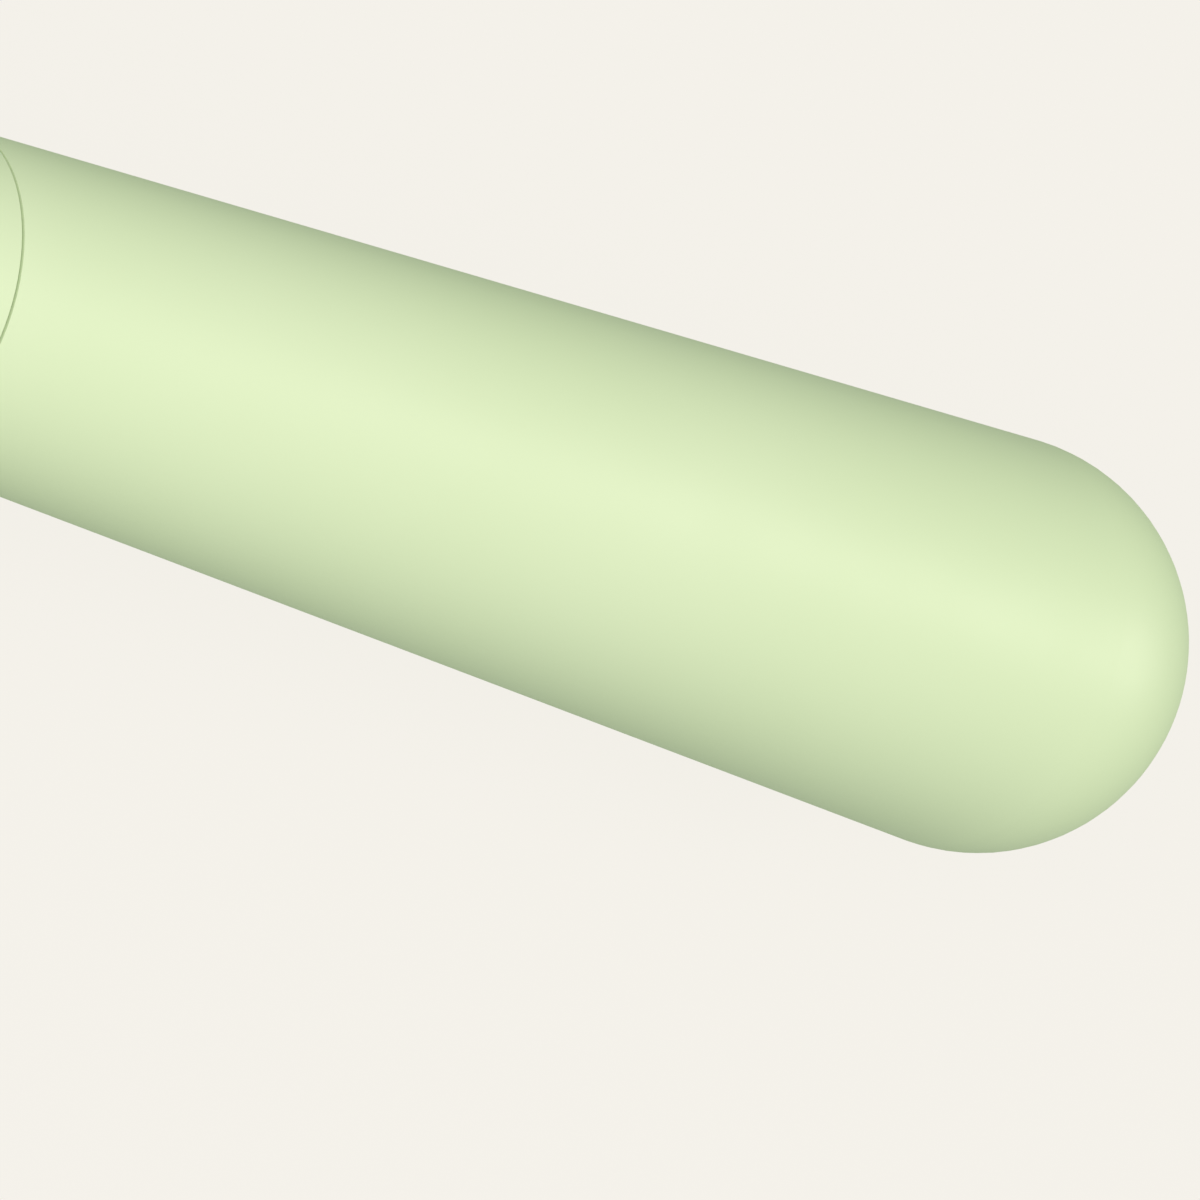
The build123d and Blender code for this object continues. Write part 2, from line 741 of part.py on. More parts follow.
with BuildPart() as head_o_ring:
    barrel_ring(groove_bottom, stem_radius, ring_groove[0] + ring_gap, ring_groove[1] - ring_gap)
head_o_ring.part.label = "head_o_ring"
export_step(head_o_ring.part, "parts/head_o_ring.step")

with BuildPart() as ball_foam:
    with Locations((0, ball_centre_y, 0)):
        Sphere(ball_radius)
    split(bisect_by=across_barrel(flange_front), keep=Keep.BOTTOM)
    add(head_core.part, mode=Mode.SUBTRACT)
    barrel_ring(0, core_radius + foam_gap, core_front, 0, mode=Mode.SUBTRACT)
ball_foam.part.label = "ball_foam"
export_step(ball_foam.part, "parts/ball_foam.step")

# --- Handle ------------------------------------------------------------------------------

sleeve_start = seam_x + seam_gap
usb_slot_gap = 0.5
usb_shell_wall = 0.3
usb_slot_width = usb_width + usb_slot_gap
usb_slot_height = usb_height + usb_slot_gap
usb_seat_x = charge_board_x + board_thickness
usb_inner_width = usb_width - 2 * usb_shell_wall
usb_inner_height = usb_height - 2 * usb_shell_wall
tongue_size = (0.7, 6.7)
tongue_root = 2.0
tongue_recess = 0.9
with BuildPart() as handle_sleeve:
    with BuildSketch(handle_plane):
        add(sleeve_section(0, sleeve_start))
        add(sleeve_section(wall, sleeve_start), mode=Mode.SUBTRACT)
    revolve(axis=handle_axis)
    with BuildSketch(across_handle(usb_seat_x)):
        SlotOverall(usb_slot_width, usb_slot_height, rotation=90)
    extrude(amount=through, mode=Mode.SUBTRACT)
handle_sleeve.part.label = "handle_sleeve"
export_step(handle_sleeve.part, "parts/handle_sleeve.step")

# Gasket sunk in the seam between the neck and the handle
gasket_inner = 12.4
gasket_sink = 0.45          # its rim lies this far below the surface, as a fine line
with BuildPart() as neck_gasket:
    handle_ring(gasket_inner, cone_radius(seam_x) - gasket_sink, seam_x, seam_x + seam_gap)
neck_gasket.part.label = "neck_gasket"
export_step(neck_gasket.part, "parts/neck_gasket.step")

# Collar that joins the neck to the handle from inside
collar_inner = 10.7
collar_outer = 11.9
collar_x = (seam_x - 7, seam_x + 11)
collar_rib_x = (sleeve_start, seam_x + 3)
with BuildPart() as neck_collar:
    handle_ring(collar_inner, collar_outer, collar_x[0], collar_x[1])
    handle_ring(collar_outer, gasket_inner, collar_rib_x[0], collar_rib_x[1])
neck_collar.part.label = "neck_collar"
export_step(neck_collar.part, "parts/neck_collar.step")

# Cradle: an open trough round both cells, ribbed to the sleeve, with ledges for the board
rib_places = (80.0, 111.0, 142.0, 172.0)
rib_thickness = 1.5
rib_gap = 0.2
ledge_thickness = 1.2
ledge_length = 4.0
ledge_z = 7.9
ledge_starts = (controller_x[0] + 4, controller_x[1] - 8)
trough_inner = cell_radius + 0.15
trough_outer = cell_radius + 1.2
trough_top_y = 51.0
trough_lap = 0.4            # the trough runs this far past the cells at each end
with BuildPart() as battery_cradle:
    for rib_x in rib_places:
        handle_ring(0, cone_radius(rib_x, wall) - rib_gap, rib_x, rib_x + rib_thickness)
    handle_ring(0, trough_outer, cell_front_x - trough_lap, cells_end_x + trough_lap, centre_y=cell_y)
    split(bisect_by=across_barrel(trough_top_y), keep=Keep.BOTTOM)
    handle_ring(0, trough_inner, cell_front_x - trough_lap - overrun, cells_end_x + trough_lap + overrun,
                centre_y=cell_y, mode=Mode.SUBTRACT)
    for ledge_x in ledge_starts:
        with BuildSketch(across_barrel(trough_top_y - ledge_thickness)):
            with Locations((ledge_x + ledge_length / 2, ledge_z), (ledge_x + ledge_length / 2, -ledge_z)):
                Rectangle(ledge_length, ledge_thickness)
        extrude(amount=controller_y - trough_top_y + ledge_thickness)
battery_cradle.part.label = "battery_cradle"
export_step(battery_cradle.part, "parts/battery_cradle.step")


pole_height = 0.5
pole_radius = 3.2
pole_sink = 0.1             # the pole is let this far into the cell
cell_round = 0.6
strip_thickness = 0.3
strip_size = (12.0, 6.0)


def battery_cell(front_x):
    """A cylindrical cell with its raised pole at the front end."""
    with BuildPart() as cell:
        handle_ring(0, cell_radius, front_x + pole_height, front_x + cell_length, centre_y=cell_y)
        ends = cell.edges().filter_by(GeomType.CIRCLE)
        fillet(ends, cell_round)
        handle_ring(0, pole_radius, front_x, front_x + pole_height + pole_sink, centre_y=cell_y)
    return cell


battery_cell_front = battery_cell(cell_front_x)
battery_cell_front.part.label = "battery_cell_front"
export_step(battery_cell_front.part, "parts/battery_cell_front.step")

battery_cell_rear = battery_cell(cell_rear_x)
battery_cell_rear.part.label = "battery_cell_rear"
export_step(battery_cell_rear.part, "parts/battery_cell_rear.step")

with BuildPart() as nickel_strips:
    for start_x, end_x in ((cell_front_x - strip_thickness, cell_front_x),
                           (cell_front_x + cell_length, cell_rear_x),
                           (cells_end_x, cells_end_x + strip_thickness)):
        with BuildSketch(across_handle(start_x, cell_y)):
            Rectangle(*strip_size)
        extrude(amount=end_x - start_x)
nickel_strips.part.label = "nickel_strips"
export_step(nickel_strips.part, "parts/nickel_strips.step")

# Controller board and what stands on it
controller_length = controller_x[1] - controller_x[0]
controller_mid_x = sum(controller_x) / 2
board_top_y = controller_y + board_thickness
chip_size = (7.0, 7.0)
switch_chip_size = (6.0, 5.0)
chip_height = 1.0
plug_size = (5.0, 7.0)
plug_height = 2.4
capacitor_radius = 2.6
controller_round = 1.0
chip_x = controller_mid_x - 12
driver_x = controller_x[0] + 14
power_stage_x = controller_mid_x + 14
power_stage_z = 4.0
plug_inset = 4.0
capacitor_x = (controller_x[1] - 26, controller_x[1] - 16)
with BuildPart() as controller_board:
    with BuildSketch(across_barrel(controller_y)):
        with Locations((controller_mid_x, 0)):
            RectangleRounded(controller_length, 2 * controller_half_width, controller_round)
    extrude(amount=board_thickness)
controller_board.part.label = "controller_board"
export_step(controller_board.part, "parts/controller_board.step")

with BuildPart() as board_components:
    with BuildSketch(across_barrel(board_top_y)):
        with Locations((chip_x, 0)):
            Rectangle(*chip_size)
        with Locations((driver_x, 0), (power_stage_x, power_stage_z), (power_stage_x, -power_stage_z)):
            Rectangle(*switch_chip_size)
    extrude(amount=chip_height)
    with BuildSketch(across_barrel(board_top_y)):
        with Locations((controller_x[0] + plug_inset, 0), (controller_x[1] - plug_inset, 0)):
            Rectangle(*plug_size)
    extrude(amount=plug_height)
    handle_ring(0, capacitor_radius, capacitor_x[0], capacitor_x[1],
                centre_y=board_top_y + capacitor_radius)
board_components.part.label = "board_components"
export_step(board_components.part, "parts/board_components.step")

# Leads that run straight beside the cells: three to the motor, two to the charging board
lead_radius = 0.45
motor_lead_pitch = 3.0
charge_lead_half_pitch = 2.0
lead_lift = 0.6             # from the cells' skin, and below the board's face, to a lead's axis
motor_leads_end_x = controller_x[0] + 2
with BuildPart() as motor_leads:
    with BuildSketch(across_handle(base_x + base_thickness, cell_y + cell_radius + lead_lift)):
        with Locations((0, -motor_lead_pitch), (0, 0), (0, motor_lead_pitch)):
            Circle(lead_radius)
    extrude(amount=motor_leads_end_x - base_x - base_thickness)
motor_leads.part.label = "motor_leads"
export_step(motor_leads.part, "parts/motor_leads.step")

with BuildPart() as charge_leads:
    with BuildSketch(across_handle(controller_x[1], board_top_y - lead_lift)):
        with Locations((0, -charge_lead_half_pitch), (0, charge_lead_half_pitch)):
            Circle(lead_radius)
    extrude(amount=charge_board_x - controller_x[1])
charge_leads.part.label = "charge_leads"
export_step(charge_leads.part, "parts/charge_leads.step")

# Charging inlet: a round board across the dome, a metal shell and its tongue
charge_board_radius = 12.0
with BuildPart() as charge_board:
    handle_ring(0, charge_board_radius, charge_board_x, charge_board_x + board_thickness)
charge_board.part.label = "charge_board"
export_step(charge_board.part, "parts/charge_board.step")

with BuildPart() as usb_receptacle:
    with BuildSketch(across_handle(usb_seat_x)):
        SlotOverall(usb_width, usb_height, rotation=90)
        SlotOverall(usb_inner_width, usb_inner_height, rotation=90, mode=Mode.SUBTRACT)
    extrude(amount=usb_face_x - usb_seat_x)
usb_receptacle.part.label = "usb_receptacle"
export_step(usb_receptacle.part, "parts/usb_receptacle.step")

with BuildPart() as usb_tongue:
    with BuildSketch(across_handle(usb_seat_x)):
        SlotOverall(usb_inner_width, usb_inner_height, rotation=90)
    extrude(amount=tongue_root)
    with BuildSketch(across_handle(usb_seat_x)):
        Rectangle(*tongue_size)
    extrude(amount=usb_face_x - usb_seat_x - tongue_recess)
usb_tongue.part.label = "usb_tongue"
export_step(usb_tongue.part, "parts/usb_tongue.step")
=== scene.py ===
"""Dresses a packed massage gun: finishes for every part, the soft ball, the dust seal and a studio stage.

Laid out as an add-on and run as a script. Everything is in metres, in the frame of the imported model:
-Y is the stroke direction, +X runs down the handle to its tip and +Z is up.
"""
from math import cos, pi, radians, sin

import bpy
import numpy as np
from mathutils import Matrix, Vector


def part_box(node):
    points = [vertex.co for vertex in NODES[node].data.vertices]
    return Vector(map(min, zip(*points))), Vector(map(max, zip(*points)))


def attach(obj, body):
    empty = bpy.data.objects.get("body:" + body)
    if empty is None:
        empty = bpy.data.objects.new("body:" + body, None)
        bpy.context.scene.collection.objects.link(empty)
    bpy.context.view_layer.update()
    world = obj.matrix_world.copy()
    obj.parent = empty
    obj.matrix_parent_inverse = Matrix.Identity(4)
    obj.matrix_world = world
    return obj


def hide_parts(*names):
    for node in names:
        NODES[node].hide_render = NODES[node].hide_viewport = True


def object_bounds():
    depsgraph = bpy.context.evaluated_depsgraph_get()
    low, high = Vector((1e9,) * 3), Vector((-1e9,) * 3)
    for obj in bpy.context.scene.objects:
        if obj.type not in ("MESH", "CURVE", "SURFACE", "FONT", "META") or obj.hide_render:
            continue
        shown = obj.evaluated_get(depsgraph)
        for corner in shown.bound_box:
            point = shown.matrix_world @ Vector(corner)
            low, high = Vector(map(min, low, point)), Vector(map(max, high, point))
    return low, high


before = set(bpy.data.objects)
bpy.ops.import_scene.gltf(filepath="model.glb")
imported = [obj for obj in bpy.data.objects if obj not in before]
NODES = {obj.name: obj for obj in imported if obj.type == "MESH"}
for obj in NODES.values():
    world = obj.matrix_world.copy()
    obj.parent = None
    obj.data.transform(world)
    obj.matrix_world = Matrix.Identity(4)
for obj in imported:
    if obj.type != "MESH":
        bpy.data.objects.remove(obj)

bl_info = {
    "name": "Massage gun finishes",
    "version": (1, 0, 0),
    "blender": (4, 5, 0),
    "location": "3D View > Sidebar > Massage gun",
    "description": "Finishes, soft parts and studio stage for a cordless massage gun",
    "category": "Object",
}

CAD_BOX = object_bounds()
MM = 0.001

# Stage: distances in metres from the round end of the handle, and the studio's own sizes
FRONT_LIGHT_REACH = 0.9
FRONT_LIGHT_DROP = 0.02
FRONT_LIGHT_SIZE = 0.55
SIDE_LIGHT_REACH = 0.7
SIDE_LIGHT_SIZE = 0.22
SIDE_LIGHT_DROP = 0.11      # how far the side light's direction turns down, and towards the camera
SIDE_LIGHT_LEAD = 0.03
SENSOR_WIDTH = 36.0         # millimetres
FLOOR_REACH = 6.0
PAPER_COLOUR = "#F4F1EA"
PAPER_GLOW = 0.962


# --- Colours, meshes and node trees --------------------------------------------------------

def linear(hex_colour):
    """Turn an sRGB hex colour into linear RGBA by the sRGB decoding curve."""
    parts = [int(hex_colour[i:i + 2], 16) / 255 for i in (1, 3, 5)]
    decoded = [c / 12.92 if c <= 0.04045 else ((c + 0.055) / 1.055) ** 2.4 for c in parts]
    return (*decoded, 1.0)


def per_mm(size):
    """Texture scale at which one feature is size millimetres across."""
    return 1.0 / (size * MM)


def add_node(tree, kind, sockets=None, **settings):
    """Add one node, set its properties, and fill its sockets with values or other nodes' outputs."""
    node = tree.nodes.new(kind)
    for name, value in settings.items():
        setattr(node, name, value)
    for name, value in (sockets or {}).items():
        if isinstance(value, bpy.types.NodeSocket):
            tree.links.new(value, node.inputs[name])
        else:
            node.inputs[name].default_value = value
    return node


def start_material(name):
    """An empty material with its node tree and the piece's Object coordinates."""
    material = bpy.data.materials.new(name)
    material.use_nodes = True
    tree = material.node_tree
    tree.nodes.clear()
    return material, tree, add_node(tree, "ShaderNodeTexCoord").outputs["Object"]


def lay_surface(tree, tones=None, roughness=None, relief=(), **constants):
    """Join a material's patterns into one shader and set the shader's constant sockets.

    tones is a pattern with the linear colours where it is 0 and 1. roughness is a pattern with the
    roughness where it is 0.3 and 0.7. relief lists patterns with the height in millimetres where each
    is 1, laid one on another.
    """
    sockets = {name.replace("_", " "): value for name, value in constants.items()}
    if tones:
        pattern, first, second = tones
        mixed = add_node(tree, "ShaderNodeMix", {0: pattern, 6: first, 7: second}, data_type="RGBA")
        sockets["Base Color"] = mixed.outputs[2]
    if roughness:
        pattern, smooth, rough = roughness
        spread = add_node(tree, "ShaderNodeMapRange", {"Value": pattern, "From Min": 0.3, "From Max": 0.7,
                                                       "To Min": smooth, "To Max": rough})
        sockets["Roughness"] = spread.outputs["Result"]
    for pattern, depth_mm in relief:
        below = {"Normal": sockets["Normal"]} if "Normal" in sockets else {}
        bump = add_node(tree, "ShaderNodeBump",
                        {"Height": pattern, "Distance": depth_mm * MM, "Strength": 1.0, **below})
        sockets["Normal"] = bump.outputs["Normal"]
    shader = add_node(tree, "ShaderNodeBsdfPrincipled", sockets)
    add_node(tree, "ShaderNodeOutputMaterial", {"Surface": shader.outputs["BSDF"]})


def dress(material, *names):
    """Give CAD nodes or pieces their material in every slot."""
    for name in names:
        target = NODES.get(name) or bpy.data.objects[name]
        if not target.data.materials:
            target.data.materials.append(material)
        for index in range(len(target.data.materials)):
            target.data.materials[index] = material


def grid_mesh(name, rows, wrap_rows=False):
    """Mesh of a grid of points closed round its second parameter.

    rows is an array (m, n, 3). Quad (i, j) joins points (i, j), (i+1, j), (i+1, j+1) and (i, j+1), with j
    counted round n. With wrap_rows, i is counted round m too. Otherwise the first and last rows are poles:
    each is kept as one point, with a fan of triangles from it to the next row.
    """
    count, around, _ = rows.shape
    if wrap_rows:
        points = rows.reshape(-1, 3)
        ring = np.arange(count * around).reshape(count, around)
        after = np.roll(ring, -1, axis=1)
        quads = np.stack([ring, np.roll(ring, -1, axis=0), np.roll(after, -1, axis=0), after], axis=-1)
        fans = []
    else:
        points = np.concatenate([rows[0, :1], rows[-1, :1], rows[1:-1].reshape(-1, 3)])
        ring = 2 + np.arange((count - 2) * around).reshape(count - 2, around)
        after = np.roll(ring, -1, axis=1)
        quads = np.stack([ring[:-1], ring[1:], after[1:], after[:-1]], axis=-1)
        first = np.stack([np.zeros_like(ring[0]), ring[0], after[0]], axis=-1)
        last = np.stack([ring[-1], np.ones_like(ring[-1]), after[-1]], axis=-1)
        fans = first.tolist() + last.tolist()
    mesh = bpy.data.meshes.new(name)
    mesh.from_pydata(points.tolist(), [], quads.reshape(-1, 4).tolist() + fans)
    mesh.shade_smooth()
    mesh.update()
    return mesh


def add_piece(name, mesh, body, stands_for=()):
    """Put a mesh in the scene as a piece that rides on a body, and hide the CAD parts it stands for."""
    piece = bpy.data.objects.new(name, mesh)
    bpy.context.scene.collection.objects.link(piece)
    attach(piece, body)
    if stands_for:
        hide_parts(*stands_for)
    return piece


# --- Finishes --------------------------------------------------------------------------------

def soft_touch_abs(colours):
    """Injection-moulded ABS under a soft-touch lacquer.

    Gives the eye a powdery satin: broad soft highlights, a very fine spark-eroded grain and an almost
    even colour with the faint clouds of a pigmented resin.
    """
    material, tree, place = start_material("abs_soft_touch_green")
    clouds = add_node(tree, "ShaderNodeTexNoise", {"Vector": place, "Scale": per_mm(38), "Detail": 2.0})
    handling = add_node(tree, "ShaderNodeTexNoise", {"Vector": place, "Scale": per_mm(9), "Detail": 3.0})
    # The real grain is about 0.1 mm; it is drawn at 0.4 mm so that it shows at all.
    grain = add_node(tree, "ShaderNodeTexNoise", {"Vector": place, "Scale": per_mm(0.4), "Detail": 2.0})
    lay_surface(tree, (clouds.outputs["Fac"], (*colours.shell_deep, 1), (*colours.shell, 1)),
                (handling.outputs["Fac"], 0.46, 0.54), [(grain.outputs["Fac"], 0.006)],
                IOR=1.46, Coat_Weight=0.12, Coat_Roughness=0.42, Coat_IOR=1.4)
    return material


def sage_abs(colours):
    """Injection-moulded ABS, spark-eroded and unpainted: a duller, slightly coarser satin than the body."""
    material, tree, place = start_material("abs_moulded_sage")
    flow = add_node(tree, "ShaderNodeTexNoise", {"Vector": place, "Scale": per_mm(14), "Detail": 3.0})
    grain = add_node(tree, "ShaderNodeTexNoise", {"Vector": place, "Scale": per_mm(0.35), "Detail": 3.0})
    lay_surface(tree, (flow.outputs["Fac"], (*colours.trim_deep, 1), (*colours.trim, 1)),
                (flow.outputs["Fac"], 0.38, 0.5), [(grain.outputs["Fac"], 0.012)], IOR=1.54)
    return material


def opal_polycarbonate():
    """Moulded opal polycarbonate: milky, lit from within its own thickness, with a glossy face."""
    material, tree, place = start_material("polycarbonate_opal")
    milk = add_node(tree, "ShaderNodeTexNoise", {"Vector": place, "Scale": per_mm(3), "Detail": 2.0})
    lay_surface(tree, (milk.outputs["Fac"], linear("#E6EEE0"), linear("#F8FBF4")),
                (milk.outputs["Fac"], 0.16, 0.26), IOR=1.58, Subsurface_Weight=0.45,
                Subsurface_Radius=(2 * MM, 2 * MM, 2 * MM), Emission_Strength=0.14,
                Emission_Color=linear("#F2FFF0"))
    return material


def closed_cell_foam():
    """Moulded closed-cell EVA foam: matt, slightly pebbled skin with tiny pores and a softly lit edge."""
    material, tree, place = start_material("eva_foam_moulded")
    tone = add_node(tree, "ShaderNodeTexNoise", {"Vector": place, "Scale": per_mm(11), "Detail": 3.0})
    # The real cells are about 0.3 mm across; they are drawn at 1.2 mm so that they show at all.
    pores = add_node(tree, "ShaderNodeTexVoronoi", {"Vector": place, "Scale": per_mm(1.2)})
    pebbles = add_node(tree, "ShaderNodeTexNoise", {"Vector": place, "Scale": per_mm(3.2), "Detail": 1.0})
    lay_surface(tree, (tone.outputs["Fac"], linear("#DDDBCF"), linear("#ECEAE0")),
                (tone.outputs["Fac"], 0.68, 0.8),
                [(pores.outputs["Distance"], 0.16), (pebbles.outputs["Fac"], 0.2)], IOR=1.48,
                Subsurface_Weight=0.12, Subsurface_Radius=(1.2 * MM, 1.0 * MM, 0.8 * MM),
                Sheen_Weight=0.15, Sheen_Roughness=0.5)
    return material


def moulded_rubber(name, dark, light, rough):
    """Compression-moulded rubber or elastomer: dull, with a faint bloom and a very fine tooth."""
    material, tree, place = start_material(name)
    bloom = add_node(tree, "ShaderNodeTexNoise", {"Vector": place, "Scale": per_mm(5), "Detail": 4.0})
    tooth = add_node(tree, "ShaderNodeTexNoise", {"Vector": place, "Scale": per_mm(0.3), "Detail": 2.0})
    lay_surface(tree, (bloom.outputs["Fac"], linear(dark), linear(light)),
                (bloom.outputs["Fac"], rough - 0.08, rough + 0.08), [(tooth.outputs["Fac"], 0.01)], IOR=1.52)
    return material


def glass_filled_nylon():
    """Black glass-filled nylon: grey-black with pale fibre flecks at its skin, half matt."""
    material, tree, place = start_material("nylon_glass_filled")
    fibres = add_node(tree, "ShaderNodeTexNoise", {"Vector": place, "Scale": per_mm(0.7), "Detail": 4.0})
    lay_surface(tree, (fibres.outputs["Fac"], linear("#191B1B"), linear("#2B2E2D")),
                (fibres.outputs["Fac"], 0.45, 0.6), [(fibres.outputs["Fac"], 0.02)], IOR=1.53)
    return material


def natural_nylon():
    """Unpigmented moulded nylon: warm white, waxy, with weak flow marks."""
    material, tree, place = start_material("nylon_natural")
    flow = add_node(tree, "ShaderNodeTexWave", {"Vector": place, "Scale": per_mm(60), "Distortion": 3.0})
    lay_surface(tree, (flow.outputs["Fac"], linear("#DAD7CB"), linear("#E8E5DA")),
                (flow.outputs["Fac"], 0.4, 0.48), IOR=1.53, Subsurface_Weight=0.1,
                Subsurface_Radius=(MM, MM, MM))
    return material


def worked_metal(name, dark, light, stretch, line_mm, rough, depth_mm):
    """Metal with fine tool marks: noise stretched along one axis, as grinding, drawing or rolling leaves it.

    stretch is how far the pattern is squeezed along X, Y and Z, so marks run along the axis with the least.
    """
    material, tree, place = start_material(name)
    marks_space = add_node(tree, "ShaderNodeMapping", {"Vector": place, "Scale": stretch})
    marks = add_node(tree, "ShaderNodeTexNoise",
                     {"Vector": marks_space.outputs["Vector"], "Scale": per_mm(line_mm), "Detail": 4.0})
    lay_surface(tree, (marks.outputs["Fac"], linear(dark), linear(light)),
                (marks.outputs["Fac"], rough - 0.07, rough + 0.07), [(marks.outputs["Fac"], depth_mm)],
                Metallic=1.0)
    return material


def cast_aluminium():
    """Die-cast aluminium: pale grey, softly mottled by the die, with a granular skin."""
    material, tree, place = start_material("aluminium_die_cast")
    mottle = add_node(tree, "ShaderNodeTexNoise", {"Vector": place, "Scale": per_mm(3.5), "Detail": 5.0})
    skin = add_node(tree, "ShaderNodeTexVoronoi", {"Vector": place, "Scale": per_mm(0.5)})
    lay_surface(tree, (mottle.outputs["Fac"], linear("#A9ABAE"), linear("#CBCDCF")),
                (mottle.outputs["Fac"], 0.42, 0.58), [(skin.outputs["Distance"], 0.015)], Metallic=1.0)
    return material


def sintered_bronze():
    """Sintered, oil-filled bronze: brown-gold with dark open pores."""
    material, tree, place = start_material("bronze_sintered")
    pores = add_node(tree, "ShaderNodeTexVoronoi", {"Vector": place, "Scale": per_mm(0.35)})
    lay_surface(tree, (pores.outputs["Distance"], linear("#6E5230"), linear("#B98F55")),
                (pores.outputs["Distance"], 0.35, 0.55), Metallic=1.0)
    return material


def wound_copper():
    """Enamelled copper wire: reddish metal in rows of fine rounded wires under clear enamel, darkened by
    painted shade in the grooves between them and lightened by a painted highlight on their crowns.
    """
    material, tree, place = start_material("copper_enamelled")
    strand_relief_and_shade = add_node(tree, "ShaderNodeTexWave", {"Vector": place, "Scale": per_mm(2.2)},
                       bands_direction="X")
    # The wave that raises each wire also sets its colour: painted shade, dark, in the grooves and a painted
    # highlight, light, on the crowns.
    lay_surface(tree, (strand_relief_and_shade.outputs["Fac"], linear("#8A4322"), linear("#D98A55")),
                (strand_relief_and_shade.outputs["Fac"], 0.25, 0.35), [(strand_relief_and_shade.outputs["Fac"], 0.08)],
                Metallic=1.0, Coat_Weight=0.6, Coat_Roughness=0.12)
    return material


def solder_mask():
    """Glass-epoxy board under green solder mask: glossy, with the cloth's weave just showing."""
    material, tree, place = start_material("fr4_solder_mask")
    weave = add_node(tree, "ShaderNodeTexChecker", {"Vector": place, "Scale": per_mm(0.45)})
    traces = add_node(tree, "ShaderNodeTexVoronoi", {"Vector": place, "Scale": per_mm(1.8)},
                      distance="MANHATTAN")
    lay_surface(tree, (weave.outputs["Fac"], linear("#0B3A22"), linear("#115232")),
                relief=[(traces.outputs["Distance"], 0.04)],
                Roughness=0.3, IOR=1.55, Coat_Weight=0.4, Coat_Roughness=0.1)
    return material


def shrink_film():
    """Heat-shrunk PVC film round a cell: smooth and glossy, with soft ripples where it drew tight."""
    material, tree, place = start_material("pvc_shrink_film")
    ripples = add_node(tree, "ShaderNodeTexNoise", {"Vector": place, "Scale": per_mm(7), "Detail": 1.0})
    lay_surface(tree, (ripples.outputs["Fac"], linear("#2F6C93"), linear("#3B7DA6")),
                (ripples.outputs["Fac"], 0.22, 0.3), [(ripples.outputs["Fac"], 0.06)],
                IOR=1.54, Coat_Weight=0.5, Coat_Roughness=0.08)
    return material


# --- Settings ----------------------------------------------------------------------------------

class FinishColours(bpy.types.PropertyGroup):
    """Colours of the moulded body and its trim."""

    shell: bpy.props.FloatVectorProperty(
        name="Body", description="Lighter tone of the green body", subtype="COLOR", size=3,
        min=0, max=1, default=linear("#D8E8C0")[:3])
    shell_deep: bpy.props.FloatVectorProperty(
        name="Body, deeper", description="Deeper tone in the body's faint clouds", subtype="COLOR", size=3,
        min=0, max=1, default=linear("#D3E5B9")[:3])
    trim: bpy.props.FloatVectorProperty(
        name="Trim", description="Lighter tone of the bezel and button", subtype="COLOR", size=3,
        min=0, max=1, default=linear("#C4D4AE")[:3])
    trim_deep: bpy.props.FloatVectorProperty(
        name="Trim, deeper", description="Deeper tone of the bezel and button", subtype="COLOR", size=3,
        min=0, max=1, default=linear("#BACBA3")[:3])


class SoftParts(bpy.types.PropertyGroup):
    """Sizes of the foam ball and the rubber dust seal."""

    edge_softness: bpy.props.FloatProperty(
        name="Base edge", description="How softly the ball's base turns into its round side",
        unit="LENGTH", default=0.5 * MM, min=0.05 * MM, precision=5)
    mould_line: bpy.props.FloatProperty(
        name="Mould line", description="Height of the fine ridge where the ball's mould closed",
        unit="LENGTH", default=0.10 * MM, min=0, precision=5)
    seal_folds: bpy.props.IntProperty(
        name="Seal folds", description="Ripples between the seal's lip and its rim", default=2, min=1, max=6)
    seal_fold_height: bpy.props.FloatProperty(
        name="Fold height", description="Height of each ripple in the dust seal",
        unit="LENGTH", default=0.45 * MM, min=0, precision=5)


class StageSettings(bpy.types.PropertyGroup):
    """Where the camera stands and how the studio is lit."""

    lean: bpy.props.FloatProperty(
        name="Lean", description="How far the handle's tip leans away from the camera",
        subtype="ANGLE", default=radians(40.62))
    slope: bpy.props.FloatProperty(
        name="Slope", description="How far the handle runs downhill in the picture",
        subtype="ANGLE", default=radians(18.05))
    turn: bpy.props.FloatProperty(
        name="Turn", description="How far the camera is swung round the handle, up from the bench",
        subtype="ANGLE", default=radians(60))
    distance: bpy.props.FloatProperty(
        name="Distance", description="Depth of the tip's round end in front of the camera",
        unit="LENGTH", default=797.2 * MM)
    aside: bpy.props.FloatVectorProperty(
        name="Aim", description="Where the round end sits right of and below the picture's centre",
        unit="LENGTH", size=2, default=(37.6 * MM, 4.2 * MM))
    lens: bpy.props.FloatProperty(
        name="Lens", description="Focal length for a 36 mm wide sensor, in millimetres", default=240.0)
    key_power: bpy.props.FloatProperty(
        name="Front light", description="Power of the broad light beside the camera",
        unit="POWER", default=5.1)
    side_power: bpy.props.FloatProperty(
        name="Side light", description="Power of the softbox beyond the handle's tip",
        unit="POWER", default=1.4)
    fill: bpy.props.FloatProperty(
        name="Fill", description="Light that the studio's walls give from all round", default=0.50, min=0)


# --- Shapes ---------------------------------------------------------------------------------

